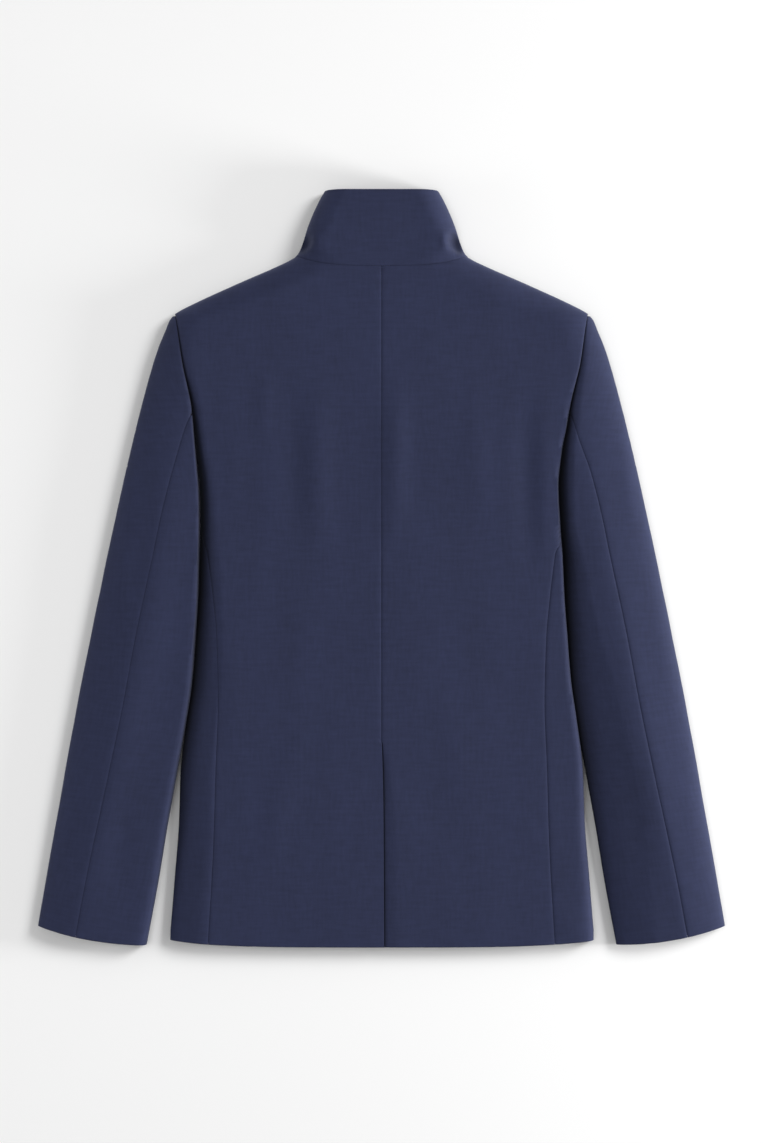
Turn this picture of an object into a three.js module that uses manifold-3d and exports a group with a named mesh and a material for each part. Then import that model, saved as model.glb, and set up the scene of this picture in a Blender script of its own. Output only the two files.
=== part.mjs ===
// A tailored blazer laid face down with its collar turned up, in millimetres, +Z up.
// +Y runs from hem to collar, +X is the wearer's right, and the floor is z = 0.
// Two skins give every panel its form: the torso with its collar, and the sleeve. A skin is a
// row of cross-sections, each a closed flattened tube: a flat underside, a short lower curve
// up to the widest line and a long soft upper curve. A panel is the stretch of a skin between
// its seams, and its inner face is the same stretch one cloth thickness further in.
import * as THREE from 'three';
import Module from 'manifold-3d';
import { mergeVertices } from 'three/addons/utils/BufferGeometryUtils.js';

const CLOTH = 2.0;            // shell, canvas and hem allowance together
const SEAM = 0.3;             // clearance between two sewn panels
const COLLAR_TOP = 372.1;
const SHOULDER = 250.9;       // height of the shoulder point
const UNDERARM = 45;
const HEM = -372.1;
const CUFF = -361;            // middle of the cuff edge
const WIDEST = 7;             // height of the widest line above the floor
const SIDE_FALL = 1.55;        // 2 is an ellipse and 1 a straight slope, down into the crevice
const LOWER_RUN = 9;          // how far the lower curve reaches in from the edge
const CUFF_SLANT = 0.172;     // rise of the cuff edge for each millimetre outwards
const CUFF_BOW = 4.2;         // how far the middle of the cuff edge hangs below its corners
const HEM_LIFT = 6.5;         // rise of the hem at its side corners
const HEM_HALF = 209.3;
const WRAP = 25;              // each front reaches this far past the centre line
const COLLAR_END = 8;         // gap from the centre line to each end of the collar
const ELBOW_TOP = 154;        // where the elbow seam leaves the back armhole
const SLEEVE_TOP = 248.4;     // the sleeve head, just under the shoulder point
const FOREARM_TOP = 100;      // where the forearm seam leaves the front armhole
const VENT_TOP = -169;
const VENT_LAP = 38;          // width of the vent's underlap
const VENT_STEP = 2.6;        // where the vent's folded edge lies, past the centre line
const CENTRE_SEAM = 0.4;
const WRAP_COLUMNS = [34, 27, 10, -8, -WRAP];
const WRAP_LIFT = { from: 38, over: 10 };   // where the left front rises over the right one
const FLAP = { from: 92, to: 186, top: -142, bottom: -191, cloth: 1.4, margin: 2, lap: 1.5 };
const BUTTON = { radius: 10, cloth: 2.0, hole: 10.4, deep: 2.2, sides: 28, heights: [-62, 28] };
const COLUMNS = { back: 9, side: 10, front: 5, topSleeve: 15, over: 7, below: 4, collar: 5 };
const ROW_STEP = 33;          // height of a row of faces
const SHOULDER_STEP = 7;
const NECK_STEPS = [0, 18, 36, 50, 62, 72, 80];
const ROUND_STEPS = [0.25, 0.5, 0.75, 1];      // shares of the collar's way round the side
const GORGE_STEPS = [72, 60, 45, 30, 18, COLLAR_END];

// Outer silhouette: half-width, and how far the upper curve reaches in from it.
const OUTLINE = [
  { y: 372.1, half: 55.7, soft: 20 },
  { y: 363.2, half: 60.9, soft: 21 },
  { y: 339.6, half: 71.4, soft: 22 },
  { y: 316.0, half: 79.3, soft: 23 },
  { y: 310.0, half: 82.2, soft: 24 },
  { y: 304.1, half: 89.7, soft: 25 },
  { y: 298.2, half: 101.7, soft: 26 },
  { y: 280.5, half: 142.3, soft: 28 },
  { y: 256.9, half: 193.2, soft: 29 },
  { y: 250.9, half: 203.9, soft: 30 },
  { y: 245.0, half: 208.5, soft: 31 },
  { y: 235.2, half: 212.5, soft: 33 },
  { y: 215.5, half: 220.5, soft: 36 },
  { y: 176.1, half: 232.2, soft: 40 },
  { y: 117.0, half: 247.0, soft: 44 },
  { y: 45.0, half: 263.2, soft: 45 },
  { y: -50.0, half: 282.7, soft: 45 },
  { y: -150.0, half: 302.0, soft: 44 },
  { y: -250.0, half: 319.5, soft: 42 },
  { y: -361.0, half: 338.6, soft: 38 },
];

// Armhole seam down to the underarm, and below it the side of the body and the inner edge of
// the sleeve. deep is how far the two surfaces dip between them, 1 for all the way round.
const SIDES = [
  { y: 250.9, body: 203.75, sleeve: 204.05, deep: 0.03, bodyRun: 8, sleeveRun: 6 },
  { y: 246.0, body: 202.25, sleeve: 202.55, deep: 0.06, bodyRun: 9, sleeveRun: 8 },
  { y: 200.0, body: 194.75, sleeve: 195.05, deep: 0.14, bodyRun: 11, sleeveRun: 12 },
  { y: 157.0, body: 185.9, sleeve: 186.2, deep: 0.38, bodyRun: 14, sleeveRun: 17 },
  { y: 130.0, body: 183.5, sleeve: 183.8, deep: 0.62, bodyRun: 17, sleeveRun: 21 },
  { y: 100.0, body: 180.8, sleeve: 181.1, deep: 0.88, bodyRun: 20, sleeveRun: 25 },
  { y: 80.0, body: 179.2, sleeve: 179.55, deep: 1, bodyRun: 22, sleeveRun: 28 },
  { y: 62.0, body: 178.7, sleeve: 179.05, deep: 1, bodyRun: 24, sleeveRun: 30 },
  { y: 45.0, body: 178.5, sleeve: 179.0, deep: 1, bodyRun: 25, sleeveRun: 32 },
  { y: 8.6, body: 179.1, sleeve: 179.75, deep: 1, bodyRun: 26, sleeveRun: 34 },
  { y: -26.8, body: 180.1, sleeve: 180.8, deep: 1, bodyRun: 27, sleeveRun: 35 },
  { y: -68.0, body: 182.7, sleeve: 183.6, deep: 1, bodyRun: 28, sleeveRun: 36 },
  { y: -110.0, body: 186.1, sleeve: 187.1, deep: 1, bodyRun: 28, sleeveRun: 37 },
  { y: -150.0, body: 191.9, sleeve: 193.4, deep: 1, bodyRun: 29, sleeveRun: 38 },
  { y: -200.0, body: 198.4, sleeve: 202.0, deep: 1, bodyRun: 30, sleeveRun: 39 },
  { y: -250.0, body: 200.2, sleeve: 211.2, deep: 1, bodyRun: 31, sleeveRun: 40 },
  { y: -300.0, body: 204.3, sleeve: 219.6, deep: 1, bodyRun: 32, sleeveRun: 40 },
  { y: -361.0, body: 208.9, sleeve: 231.3, deep: 1, bodyRun: 33, sleeveRun: 40 },
];

// How far the right armhole lies further in than the left one.
const RIGHT_SHIFT = [
  { y: 200, inward: 0 },
  { y: 150, inward: 1.6 },
  { y: 118, inward: 4.8 },
  { y: 92, inward: 5.7 },
  { y: 70, inward: 4.6 },
  { y: 45, inward: 2.9 },
  { y: 8, inward: 1 },
  { y: -60, inward: 0 },
];
const SHIFT_REACH = 26;        // how far to each side of the armhole the shift fades out

// Height of the upper cloth above the floor.
const LOFT = [
  { y: 372.1, high: 25 },
  { y: 340, high: 27 },
  { y: 306, high: 26 },
  { y: 251, high: 24.5 },
  { y: 150, high: 22 },
  { y: 45, high: 21 },
  { y: -100, high: 20 },
  { y: -250, high: 19 },
  { y: -372, high: 17 },
];

// Seam between back and side panel, seen from above.
const BACK_SEAM = [
  { y: 45, x: 176 },
  { y: 24, x: 172.8 },
  { y: -27, x: 165.6 },
  { y: -68, x: 161.8 },
  { y: -130, x: 160.2 },
  { y: -197, x: 162.6 },
  { y: -265, x: 164.6 },
  { y: -372, x: 170.4 },
];

// Seam between side panel and front, on the underside.
const FRONT_SEAM = [
  { y: 45, x: 166 },
  { y: 0, x: 157 },
  { y: -100, x: 148 },
  { y: -200, x: 151 },
  { y: -372, x: 160 },
];

// Back seam of the sleeve, seen from above.
const ELBOW_SEAM = [
  { y: 158, x: 186.5 },
  { y: 143, x: 190.6 },
  { y: 110, x: 201 },
  { y: 59, x: 214.5 },
  { y: 8.6, x: 225 },
  { y: -62, x: 240 },
  { y: -140, x: 254.5 },
  { y: -200, x: 267 },
  { y: -307, x: 290 },
  { y: -361, x: 300.5 },
];

// Front seam of the sleeve, on the underside.
const FOREARM_SEAM = [
  { y: 100, x: 183.4 },
  { y: 60, x: 193 },
  { y: 0, x: 207 },
  { y: -100, x: 217 },
  { y: -200, x: 229 },
  { y: -361, x: 260 },
];

// Neck seam across the back, and the front neckline with the gorge of the turned-up lapels.
const NECK_BACK = [
  { x: 0, y: 296.7 },
  { x: 36, y: 297.5 },
  { x: 59.4, y: 299.9 },
  { x: 71.2, y: 302.4 },
  { x: 84, y: 306.2 },
  { x: 100, y: 307 },
];
const NECK_FRONT = [
  { x: -25, y: 256 },
  { x: 82.3, y: 305.4 },
];

const clamp = (value, low, high) => Math.min(high, Math.max(low, value));
const mix = (from, to, share) => from + (to - from) * share;

// Smooth curve through two named columns of a table, with no overshoot between its rows.
function curve(table, input, output) {
  const rows = [...table].sort((a, b) => a[input] - b[input]);
  const slopes = [];
  for (let i = 1; i < rows.length; i += 1) {
    const rise = rows[i][output] - rows[i - 1][output];
    slopes.push(rise / (rows[i][input] - rows[i - 1][input]));
  }
  const tangents = rows.map((row, i) => {
    const before = slopes[Math.max(0, i - 1)];
    const after = slopes[Math.min(slopes.length - 1, i)];
    return before * after > 0 ? (2 * before * after) / (before + after) : 0;
  });
  return (value) => {
    const at = clamp(value, rows[0][input], rows[rows.length - 1][input]);
    let i = 1;
    while (i < rows.length - 1 && rows[i][input] < at) {
      i += 1;
    }
    const span = rows[i][input] - rows[i - 1][input];
    const t = (at - rows[i - 1][input]) / span;
    const start = rows[i - 1][output] * (1 + 2 * t) * (1 - t) ** 2;
    const end = rows[i][output] * t ** 2 * (3 - 2 * t);
    const turn = span * t * (1 - t) * (tangents[i - 1] * (1 - t) - tangents[i] * t);
    return start + end + turn;
  };
}

const halfWidth = curve(OUTLINE, 'y', 'half');
const softness = curve(OUTLINE, 'y', 'soft');
const bodySide = curve(SIDES, 'y', 'body');
const sleeveSide = curve(SIDES, 'y', 'sleeve');
const sideDepth = curve(SIDES, 'y', 'deep');
const bodyRun = curve(SIDES, 'y', 'bodyRun');
const sleeveRun = curve(SIDES, 'y', 'sleeveRun');
const rightShift = curve(RIGHT_SHIFT, 'y', 'inward');
const loft = curve(LOFT, 'y', 'high');
const backSeam = curve(BACK_SEAM, 'y', 'x');
const frontSeam = curve(FRONT_SEAM, 'y', 'x');
const elbowSeam = curve(ELBOW_SEAM, 'y', 'x');
const forearmSeam = curve(FOREARM_SEAM, 'y', 'x');
const neckBack = curve(NECK_BACK, 'x', 'y');
const neckFront = curve(NECK_FRONT, 'x', 'y');

// Where a rising curve reaches a height, by halving.
function reach(rising, height, low, high) {
  let near = low;
  let far = high;
  for (let i = 0; i < 30; i += 1) {
    const middle = (near + far) / 2;
    if (rising(middle) < height) {
      near = middle;
    } else {
      far = middle;
    }
  }
  return near;
}

// How much a sloping silhouette stretches a section that is cut straight across.
function lean(y) {
  return Math.hypot(1, (halfWidth(y + 3) - halfWidth(y - 3)) / 6);
}

// How far into an edge curve of the given reach a point lies: 0 inside it, 1 at the edge.
const into = (x, edge, run) => clamp(1 - (edge - x) / run, 0, 1);
const rounding = (share) => Math.sqrt(1 - share ** 2);
const slope = (share) => (1 - share ** SIDE_FALL) ** (1 / SIDE_FALL);

// One point of a section, with the direction in which the inner face lies.
function sample(x, y, form, side) {
  const stretch = lean(y);
  const upper = side > 0;
  const outRun = (upper ? softness(y) : LOWER_RUN) * stretch;
  const inRun = upper ? form.run : Math.min(LOWER_RUN, form.run);
  const out = into(x, halfWidth(y), outRun);
  const near = form.inner ? into(2 * form.edge - x, form.edge, inRun) : into(x, form.edge, inRun);
  const full = rounding(out) * (1 - form.deep * (1 - slope(near)));
  const z = upper ? WIDEST + (loft(y) - WIDEST) * full : WIDEST * (1 - full);
  const away = (form.inner ? -1 : 1) * near * form.deep;
  const level = rounding(Math.abs(clamp(out + away, -1, 1)));
  return { x, z, insetX: x - CLOTH * (out * stretch + away), insetZ: z - side * CLOTH * level };
}

// Samples from one x to another, closer together towards the second.
function stretchOf(from, to, count, y, form, side) {
  const samples = [];
  for (let i = 0; i <= count; i += 1) {
    samples.push(sample(mix(from, to, Math.sin((Math.PI / 2) * (i / count))), y, form, side));
  }
  return samples;
}

// A path joins samples end to end and is walked by its length.
function pathOf(samples) {
  const lengths = [0];
  for (let i = 1; i < samples.length; i += 1) {
    const gap = Math.hypot(samples[i].x - samples[i - 1].x, samples[i].z - samples[i - 1].z);
    lengths.push(lengths[i - 1] + gap);
  }
  return { samples, lengths, total: lengths[lengths.length - 1] };
}

function walk(path, distance) {
  const { samples, lengths } = path;
  let i = 1;
  while (i < samples.length - 1 && lengths[i] < distance) {
    i += 1;
  }
  const share = (distance - lengths[i - 1]) / (lengths[i] - lengths[i - 1] || 1);
  const blend = (key) => mix(samples[i - 1][key], samples[i][key], share);
  return { x: blend('x'), z: blend('z'), insetX: blend('insetX'), insetZ: blend('insetZ') };
}

// Distance along a path to an x, on its upper or its lower stretch.
function distanceTo(path, x, side) {
  const { samples, lengths, turning } = path;
  const first = side > 0 ? 1 : turning + 1;
  const last = side > 0 ? turning - 1 : samples.length - 1;
  for (let i = first; i <= last; i += 1) {
    const low = Math.min(samples[i - 1].x, samples[i].x);
    const high = Math.max(samples[i - 1].x, samples[i].x);
    if (x >= low && x <= high && high > low) {
      const share = (x - samples[i - 1].x) / (samples[i].x - samples[i - 1].x);
      return mix(lengths[i - 1], lengths[i], share);
    }
  }
  return side > 0 ? lengths[turning - 1] : path.total;
}

// Half of the torso at one height, from the back's centre line round to the front's.
function torso(y) {
  const shoulder = y > SHOULDER;
  const edge = shoulder ? halfWidth(y) : bodySide(y);
  const form = { edge, deep: shoulder ? 0 : sideDepth(y), run: bodyRun(y), inner: false };
  const soft = softness(y) * lean(y);
  const ridge = Math.min(edge - form.run, halfWidth(y) - soft);
  const flat = edge - LOWER_RUN * (shoulder ? lean(y) : 1);
  const upper = [...stretchOf(0, ridge, 6, y, form, 1), ...stretchOf(ridge, edge, 24, y, form, 1)];
  const lowerEdge = stretchOf(flat, edge, 14, y, form, -1).reverse();
  const lower = [...lowerEdge, ...stretchOf(flat, 0, 6, y, form, -1)];
  lower.push({ x: -2 * WRAP, z: 0, insetX: -2 * WRAP, insetZ: CLOTH });
  return { ...pathOf([...upper, ...lower]), turning: upper.length };
}

// The sleeve at one height: over the top from its inner edge, round, and back beneath.
function sleeve(y) {
  const inner = sleeveSide(y);
  const outer = halfWidth(y);
  const form = { edge: inner, deep: sideDepth(y), run: sleeveRun(y), inner: true };
  const middle = mix(inner, outer, 0.5);
  const upperInner = stretchOf(middle, inner, 20, y, form, 1).reverse();
  const upper = [...upperInner, ...stretchOf(middle, outer, 20, y, form, 1)];
  const lowerOuter = stretchOf(middle, outer, 14, y, form, -1).reverse();
  const lower = [...lowerOuter, ...stretchOf(middle, inner, 14, y, form, -1)];
  return { ...pathOf([...upper, ...lower]), turning: upper.length };
}

// The hem rises a little towards the sides.
function torsoY(x, y) {
  const fade = clamp(1 - (y - HEM) / 90, 0, 1) ** 2;
  return y + HEM_LIFT * fade * Math.min(1, Math.abs(x) / HEM_HALF) ** 4;
}

// Sections of the sleeve turn square to the arm towards the cuff, whose edge is bowed.
function sleeveY(x, y) {
  const share = clamp((UNDERARM - y) / (UNDERARM - CUFF), 0, 1);
  const half = (halfWidth(y) - sleeveSide(y)) / 2;
  const across = x - sleeveSide(y) - half;
  return y + share * CUFF_SLANT * across - CUFF_BOW * share ** 8 * (1 - (across / half) ** 2);
}

function shifted(x, y, side) {
  const off = clamp(Math.abs(x - bodySide(y)) / SHIFT_REACH, 0, 1);
  return side > 0 ? x - rightShift(y) * (1 - off ** 2) ** 2 : x;
}

// A vertex of a panel: where the outer face is, and the inner face behind it.
function vertex(point, y, bend, side, lift = 0) {
  const place = (x) => [side * shifted(x, y, side), bend(x, y)];
  const outer = [...place(point.x), point.z + lift];
  const inner = [...place(point.insetX), point.insetZ + lift];
  return { outer, inner };
}

// Faces of a grid of vertices, turned so that they point outwards.
function gridFaces(rows, flip) {
  const faces = [];
  for (let i = 1; i < rows.length; i += 1) {
    for (let j = 1; j < rows[i].length; j += 1) {
      const quad = [rows[i - 1][j - 1], rows[i - 1][j], rows[i][j], rows[i][j - 1]];
      const [a, b, c, d] = flip ? quad : quad.reverse();
      faces.push([a, b, c], [a, c, d]);
    }
  }
  return faces;
}

// Closes a patch of faces into a wall: the inner face behind it, and a rim along every edge.
function wall(faces) {
  const numbers = new Map();
  const vertices = [];
  const number = (corner) => {
    const key = corner.outer.map((value) => value.toFixed(3)).join();
    if (!numbers.has(key)) {
      numbers.set(key, vertices.length);
      vertices.push(corner);
    }
    return numbers.get(key);
  };
  const outer = faces.map((face) => face.map(number));
  const whole = outer.filter(([a, b, c]) => a !== b && b !== c && a !== c);
  const behind = vertices.length;
  const edges = new Set(whole.flatMap(([a, b, c]) => [`${a}_${b}`, `${b}_${c}`, `${c}_${a}`]));
  const index = whole.flat();
  whole.forEach(([a, b, c]) => index.push(a + behind, c + behind, b + behind));
  edges.forEach((edge) => {
    const [a, b] = edge.split('_').map(Number);
    if (edges.has(`${b}_${a}`)) {
      return;
    }
    const [c, d] = [a + behind, b + behind];
    const rising = vertices[a].outer[1] < vertices[b].outer[1];
    index.push(...(rising ? [a, c, d, a, d, b] : [a, c, b, c, d, b]));
  });
  const places = [...vertices.map((v) => v.outer), ...vertices.map((v) => v.inner)];
  const geometry = new THREE.BufferGeometry();
  geometry.setAttribute('position', new THREE.Float32BufferAttribute(places.flat(), 3));
  geometry.setIndex(index);
  return geometry;
}

// Heights for the rows of a panel: every break in order, with even steps between them.
function stations(breaks, step) {
  const heights = [breaks[0]];
  for (let i = 1; i < breaks.length; i += 1) {
    const count = Math.max(1, Math.round((breaks[i] - breaks[i - 1]) / step));
    for (let k = 1; k <= count; k += 1) {
      heights.push(mix(breaks[i - 1], breaks[i], k / count));
    }
  }
  return heights;
}

// A row of vertices along a section; crowd above 1 gathers them towards its end.
function row(path, y, from, to, count, bend, side, crowd = 1) {
  const corners = [];
  for (let j = 0; j <= count; j += 1) {
    const share = 1 - (1 - j / count) ** crowd;
    corners.push(vertex(walk(path, mix(from, to, share)), y, bend, side));
  }
  return corners;
}

// Heights of the rows, shared by all panels so that two edges of a seam keep one shape.
const BODY_ROWS = stations([HEM, VENT_TOP - 4, VENT_TOP, UNDERARM - SEAM], ROW_STEP);
const ARM_BREAKS = [UNDERARM + SEAM, 62, 80, FOREARM_TOP - 1.5, FOREARM_TOP];
const CAP_BREAKS = [ELBOW_TOP - 1, ELBOW_TOP, 178, 200, 218, 233, 242, SLEEVE_TOP];
const ARM_ROWS = stations([...ARM_BREAKS, ...CAP_BREAKS], ROW_STEP);
const NECK_ROWS = NECK_STEPS.map((x) => neckBack(x));
const SHOULDER_ROWS = stations([SHOULDER, 256, 289, NECK_ROWS[0]], SHOULDER_STEP);
const TORSO_ROWS = [...BODY_ROWS, ...ARM_ROWS, ...SHOULDER_ROWS, ...NECK_ROWS.slice(1)];
const NECK_SIDE = NECK_ROWS[NECK_ROWS.length - 1];
const neckBackX = (y) => reach(neckBack, y, 0, NECK_STEPS[NECK_STEPS.length - 1]);
const neckFrontX = (y) => reach(neckFront, y, -WRAP, 84);

// Where a back panel starts: the centre seam, the neck seam above it or the vent below it.
function backStart(y, side) {
  if (y > VENT_TOP - 1) {
    return y > neckBack(0) ? neckBackX(y) : CENTRE_SEAM / 2;
  }
  return side > 0 ? VENT_STEP + CENTRE_SEAM : -VENT_STEP;
}

function backEnd(path, y) {
  if (y > UNDERARM) {
    return path.lengths[path.turning - 1] - SEAM;
  }
  return distanceTo(path, backSeam(y) - SEAM / 2, 1);
}

function backRows(side) {
  return TORSO_ROWS.map((y) => {
    const path = torso(y);
    return row(path, y, backStart(y, side), backEnd(path, y), COLUMNS.back, torsoY, side, 1.6);
  });
}

// The vent's underlap: folded in under the other half, one cloth and a clearance lower.
function underlapRows(rows) {
  const drop = CLOTH + SEAM;
  return rows.filter(([first]) => first.outer[1] < VENT_TOP - 1).map((corners) => {
    const [x, y, z] = corners[0].outer;
    corners[0].inner = [x + CLOTH, y, z - CLOTH];
    const fold = { outer: [x, y, z - drop], inner: [x + CLOTH, y, z - drop - CLOTH] };
    const end = x - VENT_LAP;
    const edge = { outer: [end, y, z - drop], inner: [end, y, z - drop - CLOTH] };
    return [edge, fold, corners[0]];
  });
}

function backPanel(side) {
  const rows = backRows(side);
  const faces = gridFaces(rows, side > 0);
  if (side > 0) {
    faces.push(...gridFaces(underlapRows(rows), true));
  }
  return wall(faces);
}

function sidePanel(side) {
  const rows = [...BODY_ROWS.slice(0, -1), UNDERARM - 2 * SEAM].map((y) => {
    const path = torso(y);
    const from = distanceTo(path, backSeam(y) + SEAM / 2, 1);
    const to = distanceTo(path, frontSeam(y) + SEAM / 2, -1);
    return row(path, y, from, to, COLUMNS.side, torsoY, side);
  });
  return wall(gridFaces(rows, side > 0));
}

function frontStart(path, y) {
  if (y > UNDERARM) {
    return path.lengths[path.turning] + SEAM;
  }
  return distanceTo(path, frontSeam(y) - SEAM / 2, -1);
}

// The left front laps over the right one inside the body, so its wrap is one cloth higher.
function frontPanel(side) {
  const rows = TORSO_ROWS.map((y) => {
    const path = torso(y);
    const edge = y > neckFront(-WRAP) ? neckFrontX(y) : -WRAP;
    const last = distanceTo(path, Math.max(40, edge), -1);
    const corners = row(path, y, frontStart(path, y), last, COLUMNS.front, torsoY, side);
    WRAP_COLUMNS.forEach((x) => {
      const at = Math.max(x, edge);
      const over = clamp((WRAP_LIFT.from - at) / WRAP_LIFT.over, 0, 1);
      const lift = side < 0 ? (CLOTH + SEAM) * over : 0;
      corners.push(vertex(walk(path, distanceTo(path, at, -1)), y, torsoY, side, lift));
    });
    return corners;
  });
  return wall(gridFaces(rows, side > 0));
}

// Half of the collar's foot: along the back neck seam, round the side and down the gorge.
function collarFoot() {
  const side = NECK_SIDE + 3 * SEAM;
  const path = torso(side);
  const turn = [distanceTo(path, NECK_STEPS[NECK_STEPS.length - 1], 1), distanceTo(path, 82, -1)];
  const back = NECK_STEPS.map((x) => {
    const y = neckBack(x) + (x > 60 ? 3 : 1.5) * SEAM;
    return { y, along: distanceTo(torso(y), x, 1) };
  });
  const round = ROUND_STEPS.map((share) => ({ y: side, along: mix(...turn, share) }));
  const gorge = GORGE_STEPS.map((x) => {
    const y = neckFront(x) + 2.5 * SEAM;
    return { y, along: distanceTo(torso(y), x, -1) };
  });
  return [...back, ...round, ...gorge];
}

function collarPanel() {
  const faces = [-1, 1].flatMap((side) => {
    const lines = collarFoot().map((foot) => {
      const share = foot.along / distanceTo(torso(foot.y), COLLAR_END, -1);
      const step = (COLLAR_TOP - foot.y) / COLUMNS.collar;
      return stations([foot.y, COLLAR_TOP], step).map((y) => {
        const path = torso(y);
        return vertex(walk(path, share * distanceTo(path, COLLAR_END, -1)), y, torsoY, side);
      });
    });
    return gridFaces(lines, side < 0);
  });
  return wall(faces);
}

const LOWER_ARM_ROWS = stations([CUFF, UNDERARM], ROW_STEP);

function topSleeve(side) {
  const rows = [...LOWER_ARM_ROWS, ...ARM_ROWS].map((y) => {
    const path = sleeve(y);
    const seam = distanceTo(path, elbowSeam(y) + SEAM / 2, 1);
    const from = y < ELBOW_TOP ? seam : 0;
    const under = distanceTo(path, forearmSeam(y) + SEAM / 2, -1);
    const to = y < FOREARM_TOP ? under : path.total;
    return row(path, y, from, to, COLUMNS.topSleeve, sleeveY, side);
  });
  return wall(gridFaces(rows, side > 0));
}

// Two stretches from the inner edge, over to the elbow seam and under to the forearm seam.
// They are one round the edge as far as the underarm, and above it the armhole parts them.
function underSleeve(side) {
  const rows = [...LOWER_ARM_ROWS, ...ARM_ROWS];
  const upper = rows.filter((y) => y < ELBOW_TOP).map((y) => {
    const path = sleeve(y);
    const seam = distanceTo(path, elbowSeam(y) - SEAM / 2, 1);
    return row(path, y, seam, 0, COLUMNS.over, sleeveY, side, 1.2);
  });
  const lower = rows.filter((y) => y < FOREARM_TOP).map((y) => {
    const path = sleeve(y);
    const seam = distanceTo(path, forearmSeam(y) - SEAM / 2, -1);
    return row(path, y, path.total, seam, COLUMNS.below, sleeveY, side);
  });
  return wall([...gridFaces(upper, side < 0), ...gridFaces(lower, side < 0)]);
}

const wasm = await Module();
wasm.setup();

function solidOf(geometry) {
  const bare = geometry.clone();
  bare.deleteAttribute('normal');
  bare.deleteAttribute('uv');
  const merged = mergeVertices(bare, 1e-4);
  const vertProperties = new Float32Array(merged.attributes.position.array);
  const triVerts = new Uint32Array(merged.index.array);
  return new wasm.Manifold(new wasm.Mesh({ numProp: 3, vertProperties, triVerts }));
}

function geometryOf(solid) {
  const { vertProperties, triVerts } = solid.getMesh();
  const geometry = new THREE.BufferGeometry();
  geometry.setAttribute('position', new THREE.Float32BufferAttribute(vertProperties, 3));
  geometry.setIndex(new THREE.BufferAttribute(triVerts, 1));
  return geometry;
}

// An upright block between two corners.
function block(side, x0, x1, y0, y1, z0, z1) {
  const shape = new THREE.BoxGeometry(x1 - x0, y1 - y0, z1 - z0);
  return shape.translate((side * (x0 + x1)) / 2, (y0 + y1) / 2, (z0 + z1) / 2);
}

function disc(y, radius, z0, z1) {
  const shape = new THREE.CylinderGeometry(radius, radius, z1 - z0, BUTTON.sides);
  return shape.rotateX(Math.PI / 2).translate(0, y, (z0 + z1) / 2);
}

// The cloth steps up over the pocket flap, so that the flap lies level with the underside.
function overFlap(geometry, side, x0, x1) {
  const { top, bottom, cloth, margin } = FLAP;
  const hollow = cloth + SEAM;
  const cover = block(side, x0, x1, bottom - margin, top + margin, hollow, hollow + CLOTH);
  const { from, to } = FLAP;
  const recess = block(side, from - SEAM, to + SEAM, bottom - SEAM, top + SEAM, -1, hollow);
  return geometryOf(solidOf(geometry).add(solidOf(cover)).subtract(solidOf(recess)));
}

function frontWithFlap(side) {
  const seam = Math.min(frontSeam(FLAP.bottom), frontSeam(FLAP.top)) - FLAP.lap;
  let geometry = overFlap(frontPanel(side), side, FLAP.from - FLAP.margin, seam);
  if (side > 0) {
    BUTTON.heights.forEach((y) => {
      const hole = disc(y, BUTTON.hole, -1, BUTTON.deep);
      geometry = geometryOf(solidOf(geometry).subtract(solidOf(hole)));
    });
  }
  return geometry;
}

function sideWithFlap(side) {
  const seam = Math.max(frontSeam(FLAP.bottom), frontSeam(FLAP.top)) + FLAP.lap;
  return overFlap(sidePanel(side), side, seam, FLAP.to + 1);
}

function flap(side) {
  return block(side, FLAP.from, FLAP.to, FLAP.bottom, FLAP.top, 0, FLAP.cloth);
}

const wool = new THREE.MeshStandardMaterial({ color: 0x2e334e, roughness: 0.85, metalness: 0 });
const horn = new THREE.MeshStandardMaterial({ color: 0x22242f, roughness: 0.4, metalness: 0 });

const blazer = new THREE.Group();

function put(name, geometry, material) {
  const mesh = new THREE.Mesh(geometry, material);
  mesh.name = name;
  blazer.add(mesh);
}

for (const [word, side] of [['left', -1], ['right', 1]]) {
  put(`back_${word}`, backPanel(side), wool);
  put(`side_${word}`, sideWithFlap(side), wool);
  put(`front_${word}`, frontWithFlap(side), wool);
  put(`pocket_flap_${word}`, flap(side), wool);
  put(`top_sleeve_${word}`, topSleeve(side), wool);
  put(`under_sleeve_${word}`, underSleeve(side), wool);
}
put('collar', collarPanel(), wool);
BUTTON.heights.forEach((y, i) => {
  put(`button_${i + 1}`, disc(y, BUTTON.radius, 0, BUTTON.cloth), horn);
});

export default blazer;
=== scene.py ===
"""A tailored wool blazer laid face down with its collar turned up.

Sizes are worked out in millimetres and placed in metres. +Y runs from hem to collar, +X is the
wearer's right, and the floor is z = 0. Two skins give every panel its form: the torso with its
collar, and the sleeve. A skin is a row of cross-sections, each a closed flattened tube, and a
panel is the stretch of a skin between its seams.
"""

import math
from bisect import bisect_right
from collections import namedtuple
from functools import lru_cache

import bmesh
import bpy
from bpy.props import FloatProperty, FloatVectorProperty, PointerProperty
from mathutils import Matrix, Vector, noise


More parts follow.
